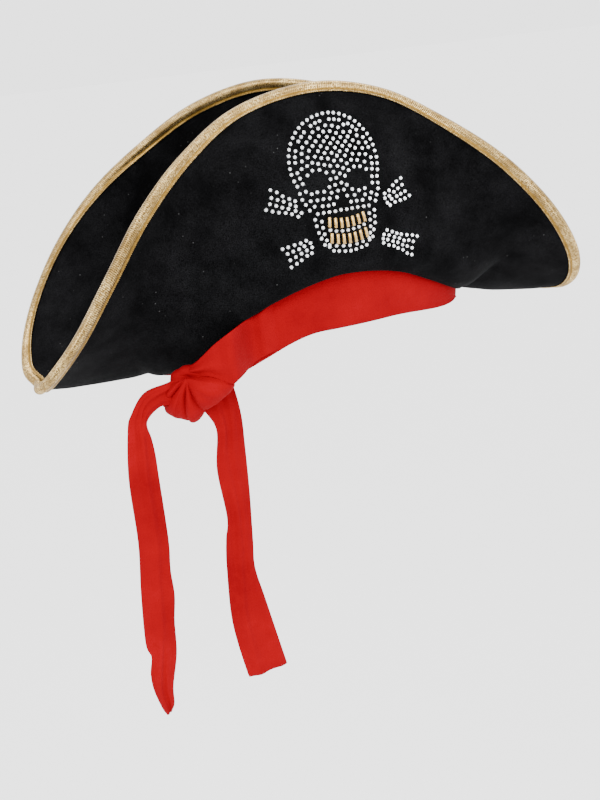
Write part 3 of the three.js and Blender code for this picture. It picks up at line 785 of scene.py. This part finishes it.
def strip_between(left, right, count, around, lift, half_thickness, outward):
    """Two grids of points, the faces of a strip of cloth between two edges, lifted outward."""
    share = np.linspace(0, 1, count)
    first, last = through(left, share)[:, None], through(right, share)[:, None]
    u = np.linspace(0, 1, around)[None, :, None]
    middle = first + (last - first) * u
    raised = middle + np.asarray(outward) * lift(share[:, None], u[..., 0])[..., None]
    side = np.sqrt(1 - 0.9 * (2 * u - 1) ** 2)
    thick = np.asarray(outward) * side * half_thickness
    return raised + thick, raised - thick


def knot_wrap():
    """The turn of the scarf that comes off the band, over the knot's right lobe and into the pinch."""
    def lift(share, u):
        dome = 2.2 * np.sin(math.pi * u) ** 0.7 * smoothstep(0.1, 0.6, share)
        creases = 0.9 * np.sin(2 * math.pi * (1.6 * u + 0.7 * share)) * smoothstep(0.25, 0.8, share)
        return dome + creases

    face, back = strip_between(WRAP_UPPER, WRAP_LOWER, 90, 40, lift, 1.0, KNOT_OUT)
    piece = slab_piece("scarf_knot_wrap", under_brim(face), under_brim(back), SCARF)
    soften(piece, 3)
    finish_piece(piece, "hat", "scarf")


TAIL_LONG_LEFT = [
    (-122, -10), (-131, -12), (-147, -16), (-158, -30), (-162, -41), (-166.5, -76), (-167, -124),
    (-171, -163), (-173.5, -202), (-171, -214), (-173.5, -227), (-173, -241), (-169, -258), (-166, -265.5),
]
TAIL_LONG_RIGHT = [
    (-126, -30), (-137, -28), (-147.5, -37), (-146, -50), (-145, -62), (-145, -81), (-145, -127),
    (-147, -150), (-147, -170), (-150, -190), (-152, -216), (-158, -242), (-159, -257), (-161.5, -263.5),
]
TAIL_SHORT_LEFT = [
    (-112, -26), (-108, -36), (-100, -54), (-103, -84), (-100, -122), (-103, -139), (-105.5, -161),
    (-107, -205), (-101, -249), (-98.5, -254),
]
TAIL_SHORT_RIGHT = [
    (-90, -12), (-84.5, -22), (-80.5, -46), (-80, -71), (-80.5, -107), (-82.5, -144), (-84, -166),
    (-80, -190), (-74, -223), (-68.5, -252),
]


def tail_folds(seed, depth):
    """Long soft folds that wander down a hanging strip."""
    rng = np.random.default_rng(seed)
    ranges = ((0.15, 0.85), (2, 5), (0, 6), (0.5, 1))
    folds = [tuple(rng.uniform(low, high) for low, high in ranges) for _ in range(4)]

    def lift(share, u):
        total = 2.2 * np.sin(share * 6.5 + seed) * smoothstep(0.05, 0.2, share) + 0 * u
        for center, sway, start, height in folds:
            line = center + 0.16 * np.sin(share * sway * 2 + start)
            total = total + depth * height * np.exp(-(((u - line) / 0.11) ** 2))
        return total
    return lift


def tail(name, left, right, bodies, seed, depth):
    plane = -62.0
    edges = [[(x, plane, z) for x, z in edge] for edge in (left, right)]
    face, back = strip_between(*edges, 190, 34, tail_folds(seed, depth), 0.9, (0, -1.0, 0))
    piece = slab_piece(name, face, back, SCARF)
    hang_as_cloth(piece)
    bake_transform(piece)
    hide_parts(*bodies)


def hang_as_cloth(piece):
    """Lets the strip settle as cloth from its tied end, held near its drawn shape."""
    group = piece.vertex_groups.new(name="held")
    top = max(v.co.z for v in piece.data.vertices)
    for v in piece.data.vertices:
        depth = (top - v.co.z) / 0.25
        group.add([v.index], 1.0 if depth < 0.12 else max(0.25, 0.9 - 2.2 * (depth - 0.12)), "REPLACE")
    before = [v.co.copy() for v in piece.data.vertices]
    cloth = piece.modifiers.new("cloth", "CLOTH")
    cloth.settings.quality = 6
    cloth.settings.mass = 0.2
    cloth.settings.vertex_group_mass = "held"
    cloth.settings.pin_stiffness = 1.5
    cloth.settings.bending_stiffness = 0.3
    cloth.collision_settings.use_collision = False
    scene = bpy.context.scene
    scene.frame_start, scene.frame_end = 1, 14
    cloth.point_cache.frame_start, cloth.point_cache.frame_end = 1, 14
    for number in range(1, 15):
        scene.frame_set(number)
    apply_modifiers(piece)
    for v, was in zip(piece.data.vertices, before):
        move = v.co - was
        if move.length > 0.004:
            v.co = was + move * (0.004 / move.length)
    scene.frame_set(1)
    soften(piece, 1)


def tails():
    tail("scarf_tail_long", TAIL_LONG_LEFT, TAIL_LONG_RIGHT, ("tail_long_upper", "tail_long_lower"),
         3, 1.5)
    tail("scarf_tail_short", TAIL_SHORT_LEFT, TAIL_SHORT_RIGHT, ("tail_short_upper", "tail_short_lower"),
         8, 1.4)


scarf_band()
crown_pieces()
knot()
knot_wrap()
tails()


# ---- crystals and beads ----------------------------------------------------------------------------------


def on_velvet(x, z):
    """The place on the front velvet's face at a place across and up, and the way out of it."""
    place, normal, _, _ = VELVET_TREE.ray_cast(Vector((x * MM, -0.4, z * MM)), Vector((0, 1, 0)))
    if normal.y > 0:
        normal = -normal
    return place, normal


def arc(center, radius, start, end, steps):
    turns = np.radians(np.linspace(start, end, steps))
    return [(center[0] + radius[0] * math.cos(t), center[1] + radius[1] * math.sin(t)) for t in turns]


MOTIF_ACROSS = 5.0  # how far the whole motif sits off the hat's middle
TEETH_ROWS = (80.6, 70.0)
TOOTH_PITCH = 4.3
BONE_ENDS = {
    ("left", "upper"): (-51, 101), ("right", "upper"): (50.5, 95), ("left", "lower"): (-45.5, 62),
    ("right", "lower"): (51.5, 54.5),
}


def skull_outline():
    return [(-24, 86.5), (-30, 98)] + arc((0, 119), (33.7, 33.7), 203, -23, 40) + [(30, 98), (24, 86.5)]


def oval(x, z, half_width, half_height):
    return arc((x, z), (half_width, half_height), 0, 345, 24)


SKULL_HOLES = [oval(-14.6, 108.5, 7.6, 6.0), oval(14.4, 106.5, 8.6, 6.4), [(-4.4, 92), (4.4, 92), (0, 102)]]


def polyline(points, closed=True):
    line = np.array(points, float)
    return np.vstack([line, line[:1]]) if closed else line


def inside(points, outline):
    """Which points are inside a closed outline."""
    line = polyline(outline)
    x, z = points[:, 0], points[:, 1]
    result = np.zeros(len(points), bool)
    for (x1, z1), (x2, z2) in zip(line[:-1], line[1:]):
        if z1 == z2:
            continue
        crosses = (z1 > z) != (z2 > z)
        result ^= crosses & (x < (x2 - x1) * (z - z1) / (z2 - z1) + x1)
    return result


def away_from(points, outline):
    """How far points are from an outline."""
    line = polyline(outline)
    best = np.full(len(points), np.inf)
    for start, end in zip(line[:-1], line[1:]):
        run = end - start
        t = np.clip((points - start) @ run / max(run @ run, 1e-9), 0, 1)
        best = np.minimum(best, np.linalg.norm(points - start - t[:, None] * run, axis=1))
    return best


def beside(outline, offset, pitch):
    """Places along a closed outline, moved off it to the left of its way round, one pitch apart."""
    line = polyline(outline)
    lengths = np.concatenate([[0], np.cumsum(np.linalg.norm(np.diff(line, axis=0), axis=1))])
    count = max(3, round(lengths[-1] / pitch))
    at = np.linspace(0, lengths[-1], count, endpoint=False)
    place = np.stack([np.interp(at, lengths, line[:, k]) for k in range(2)], axis=1)
    ahead = np.stack([np.interp((at + 0.4) % lengths[-1], lengths, line[:, k]) for k in range(2)], axis=1)
    way = ahead - place
    way /= np.linalg.norm(way, axis=1, keepdims=True)
    return place + offset * np.stack([-way[:, 1], way[:, 0]], axis=1)


def area_sign(outline):
    line = polyline(outline)
    return np.sign(np.sum(line[:-1, 0] * line[1:, 1] - line[1:, 0] * line[:-1, 1]))


def crystal_places(outline, holes, rng, margin=1.4):
    """Rows along the outline and round the holes, then a loose fill between them."""
    rings = [beside(outline, (margin + step) * area_sign(outline), CRYSTAL_PITCH) for step in (0, 4.3)]
    rings += [beside(hole, -margin * area_sign(hole), CRYSTAL_PITCH * 0.97) for hole in holes]
    kept = np.zeros((0, 2))
    for place in np.concatenate(rings):
        free = inside(place[None], outline)[0] and away_from(place[None], outline)[0] > 0.9 * margin
        free = free and all(not inside(place[None], hole)[0] for hole in holes)
        if free and (not len(kept) or np.linalg.norm(kept - place, axis=1).min() > 0.85 * CRYSTAL_PITCH):
            kept = np.vstack([kept, place])
    low, high = np.min(outline, axis=0), np.max(outline, axis=0)
    columns, rows = np.arange(low[0], high[0], 0.4), np.arange(low[1], high[1], 0.4)
    spots = np.stack(np.meshgrid(columns, rows), -1).reshape(-1, 2)
    spots = spots[inside(spots, outline) & (away_from(spots, outline) > 0.9 * margin)]
    for hole in holes:
        spots = spots[~inside(spots, hole) & (away_from(spots, hole) > 0.9 * margin)]
    fixed, left = len(kept), spots
    while len(left):
        gap = np.linalg.norm(left[:, None] - kept[None], axis=2).min(1)
        left, gap = left[gap >= 0.92 * CRYSTAL_PITCH], gap[gap >= 0.92 * CRYSTAL_PITCH]
        if len(left):
            kept = np.vstack([kept, left[np.argmin(gap + 0.002 * left[:, 1])]])
    kept = evened_out(kept, fixed, spots)
    return kept + rng.normal(scale=0.1, size=kept.shape)


def evened_out(places, fixed, spots):
    """The places after the fixed ones, each moved to the middle of the spots nearest to it, over and over."""
    for _ in range(14):
        nearest = np.linalg.norm(spots[:, None] - places[None], axis=2).argmin(1)
        for i in range(fixed, len(places)):
            mine = spots[nearest == i]
            if len(mine):
                places[i] += 0.8 * (mine.mean(0) - places[i])
    return places


def gem_template():
    """A round flat-back crystal standing on z = 0: girdle, eight slanting facets and a table."""
    rings = [(CRYSTAL / 2, 0.0, 0), (CRYSTAL / 2, 0.35, 0), (CRYSTAL * 0.29, 1.05, 0.5)]
    points = [(r * math.cos((k + twist) * math.pi / 4), r * math.sin((k + twist) * math.pi / 4), z)
              for r, z, twist in rings for k in range(8)]
    faces = [tuple(range(7, -1, -1)), tuple(range(16, 24))]
    for k in range(8):
        n = (k + 1) % 8
        faces.append((k, n, 8 + n, 8 + k))
        faces.append((8 + k, 8 + n, 16 + k))
        faces.append((8 + n, 16 + n, 16 + k))
    return np.array(points), faces


def crystal_piece(name, places, rng, node):
    template, template_faces = gem_template()
    points, faces = [], []
    for x, z in places:
        place, normal = on_velvet(x + MOTIF_ACROSS, z)
        turn = Matrix.Rotation(rng.uniform(0, 2 * math.pi), 3, "Z")
        lean = Vector((rng.normal(scale=0.06), rng.normal(scale=0.06), 1))
        tilt = lean.rotation_difference(Vector((0, 0, 1))).to_matrix()
        stand = normal.to_track_quat("Z", "Y").to_matrix() @ tilt @ turn
        spin = np.array(stand)
        first = len(points) * len(template)
        points.append(template @ spin.T + np.array(place) / MM + np.array(normal) * -0.1)
        faces += [tuple(first + i for i in face) for face in template_faces]
    piece = new_object(name, np.concatenate(points), faces, CRYSTALS, smooth=False)
    finish_piece(piece, "hat", "crystal", node)


def smile(x):
    """How far the rows of teeth sag towards their middle."""
    return 1.9 * (np.abs(x) / 13) ** 2 - 1.2


def jaw_places(rng):
    """Stones down the jaw's two sides, a stone at the foot of each tooth, and the rows of the chin."""
    places = []
    for foot, width in ((TEETH_ROWS[0] - 5.2, 6), (TEETH_ROWS[1] - 4.8, 7)):
        places += [(x, foot + smile(x)) for x in np.linspace(-width, width, 7) * TOOTH_PITCH / 2]
    places += [(x, 60.3 + 1.2 * (abs(x) / 10) ** 2) for x in np.linspace(-12.5, 12.5, 7)]
    for side in (-1, 1):
        for z in np.arange(84.2, 64.0, -CRYSTAL_PITCH):
            places.append((side * (22.3 - 0.012 * (86 - z) ** 2), z))
            if z > 66:
                places.append((side * (18.1 - 0.008 * (86 - z) ** 2), z - 1.6))
    return np.array(places) + rng.normal(scale=0.15, size=(len(places), 2))


def bone_places(end, start, rng):
    """Rows of stones along one arm of a crossed bone, spread out towards its notched end."""
    crossing = np.array([0, 77.6])
    run = np.array(end) - crossing
    reach = np.linalg.norm(run)
    run /= reach
    side = np.array([-run[1], run[0]])
    places = []
    for row in (-1.5, -0.5, 0.5, 1.5):
        length = reach - start - (1.5 if abs(row) < 1 else 0)
        for step in range(int(length / CRYSTAL_PITCH) + 1):
            along = start + length - step * CRYSTAL_PITCH
            spread = 3.0 + 1.5 * smoothstep(reach - 16, reach, along)
            if abs(row) > 1 and along < start + 1.5:
                continue
            places.append(crossing + run * along + side * row * spread)
    return np.array(places) + rng.normal(scale=0.2, size=(len(places), 2))


def motif():
    rng = np.random.default_rng(5)
    skull = crystal_places(skull_outline(), SKULL_HOLES, rng)
    jaw = jaw_places(rng)
    crystal_piece("skull_crystal_field", skull, rng, "skull_crystals")
    crystal_piece("jaw_crystal_field", jaw, rng, "jaw_crystals")
    laid = np.vstack([skull, jaw])
    for side in ("left", "right"):
        for level in ("upper", "lower"):
            places = bone_places(BONE_ENDS[side, level], 32 if level == "upper" else 26, rng)
            far = [np.linalg.norm(laid - place, axis=1).min() > 0.8 * CRYSTAL_PITCH for place in places]
            places = places[far]
            crystal_piece(f"bone_{side}_{level}_field", places, rng, f"bone_{side}_{level}")


def bead(name, x, z, node):
    """A bugle bead: a thin glass tube with rounded ends, lying on the velvet."""
    length, radius, bore, bevel = 6.8, 1.15, 0.45, 0.2
    profile = [(bore, -length / 2), (radius - bevel, -length / 2), (radius, -length / 2 + bevel),
               (radius, length / 2 - bevel), (radius - bevel, length / 2), (bore, length / 2)]
    lean = 0.035 * x
    below, off = on_velvet(x + lean + MOTIF_ACROSS, z - length / 2)
    above, _ = on_velvet(x - lean + MOTIF_ACROSS, z + length / 2)
    spin = np.array((above - below).normalized().to_track_quat("Z", "Y").to_matrix())
    turn = np.linspace(0, 2 * math.pi, 20, endpoint=False)
    sections = np.array([[(r * math.cos(t), r * math.sin(t), h) for r, h in profile] for t in turn])
    middle = np.array((below + above) / 2) / MM + np.array(off) * (radius + 0.1)
    piece = ring_piece(name, sections @ spin.T + middle, BEADS)
    finish_piece(piece, "hat", "bead", node)


motif()
for row in ("upper", "lower"):
    for number in range(1, 8):
        x = (number - 4) * TOOTH_PITCH
        height = TEETH_ROWS[0 if row == "upper" else 1] + smile(x)
        bead(f"bead_{row}_{number}", x, height, f"tooth_{row}_{number}")


# ---- camera, light and floor -----------------------------------------------------------------------------

def camera():
    azimuth, elevation, roll = math.radians(20), math.radians(19.03), math.radians(-5.88)
    distance, aim_right, aim_up, rest = 0.876, 0.0068, 0.0520, -0.0158
    forward = Vector((math.sin(azimuth) * math.cos(elevation), math.cos(azimuth) * math.cos(elevation),
                      -math.sin(elevation)))
    level = Vector((math.cos(azimuth), -math.sin(azimuth), 0))
    above = level.cross(forward)
    right = level * math.cos(roll) + above * math.sin(roll)
    up = above * math.cos(roll) - level * math.sin(roll)
    place = -right * aim_right - up * aim_up - forward * distance + Vector((0, 0, rest))
    turned = Matrix((right, up, -forward)).transposed().to_4x4()
    data = bpy.data.cameras.new("camera")
    data.sensor_fit = "HORIZONTAL"
    data.sensor_width = 36
    data.lens = LENS
    data.clip_start = 0.02
    eye = bpy.data.objects.new("camera", data)
    bpy.context.scene.collection.objects.link(eye)
    eye.matrix_world = Matrix.Translation(place) @ turned
    bpy.context.scene.camera = eye


def area_light(name, place, target, size, power, color=(1, 1, 1)):
    data = bpy.data.lights.new(name, "AREA")
    data.shape = "DISK"
    data.size = size
    data.energy = power
    data.color = color
    light = bpy.data.objects.new(name, data)
    light.location = place
    light.rotation_euler = (Vector(target) - Vector(place)).to_track_quat("-Z", "Y").to_euler()
    bpy.context.scene.collection.objects.link(light)


def studio():
    mesh = bpy.data.meshes.new("floor")
    size, depth = 40.0, -1.7
    mesh.from_pydata([(-size, -size, depth), (size, -size, depth), (size, size, depth), (-size, size, depth)],
                     [], [(0, 1, 2, 3)])
    floor = bpy.data.objects.new("floor", mesh)
    bpy.context.scene.collection.objects.link(floor)
    paint = Material("floor_paper", Roughness=0.9)
    paint.link(paint.ramp(paint.noise(3), [(0.0, (0.93,) * 3), (1.0, (0.96,) * 3)]), "Base Color")
    mesh.materials.append(paint.material)
    world = bpy.data.worlds.new("studio")
    bpy.context.scene.world = world
    world.use_nodes = True
    sky = world.node_tree.nodes
    height = sky.new("ShaderNodeSeparateXYZ")
    world.node_tree.links.new(sky.new("ShaderNodeTexCoord").outputs["Generated"], height.inputs[0])
    shade = sky.new("ShaderNodeMapRange")
    for socket, value in (("From Min", -0.1), ("From Max", 0.9), ("To Min", 2.58), ("To Max", 3.0)):
        shade.inputs[socket].default_value = value
    world.node_tree.links.new(height.outputs["Z"], shade.inputs["Value"])
    world.node_tree.links.new(shade.outputs["Result"], sky["Background"].inputs["Strength"])
    sky["Background"].inputs["Color"].default_value = (1, 1, 1, 1)
    area_light("key", (-0.9, -1.3, 1.2), (0, 0, 0.05), 0.9, 40)
    area_light("fill", (1.3, -1.0, 0.5), (0, 0, 0.05), 1.2, 12)
    area_light("top", (0.1, 0.3, 1.5), (0, 0, 0.05), 0.8, 20)


camera()
studio()
